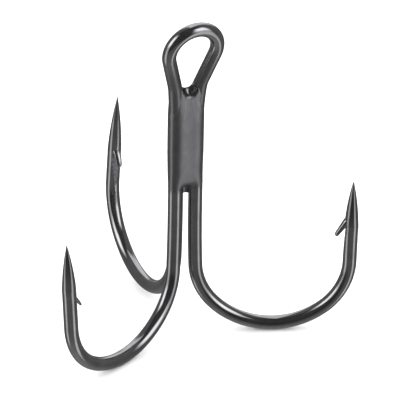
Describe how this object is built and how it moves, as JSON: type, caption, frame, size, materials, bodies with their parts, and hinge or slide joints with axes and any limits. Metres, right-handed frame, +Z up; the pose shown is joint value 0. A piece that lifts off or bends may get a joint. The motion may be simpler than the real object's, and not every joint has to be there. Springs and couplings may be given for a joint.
{
  "type": "treble hook",
  "caption": "Barbed treble fishing hook: a bent-wire eye and round-bend hooks joined by a brazed shank, in smoked black-nickel plate.",
  "frame": {"origin": "centre of the eye's hole, where a ring or line passes through", "axes": "+Z up along the shank towards the eye, +Y towards the rear hook, +X along the plane of the two front legs"},
  "size_m": [0.0346, 0.027, 0.0371],
  "materials": {
    "hook_wire": "bright black-nickel plate on carbon steel wire",
    "braze": "satin black-nickel plate on a braze fillet"
  },
  "bodies": {
    "root": {"eye_and_front_hooks_wire": "hook_wire", "rear_hook_wire": "hook_wire", "braze": "braze"}
  },
  "joints": []
}
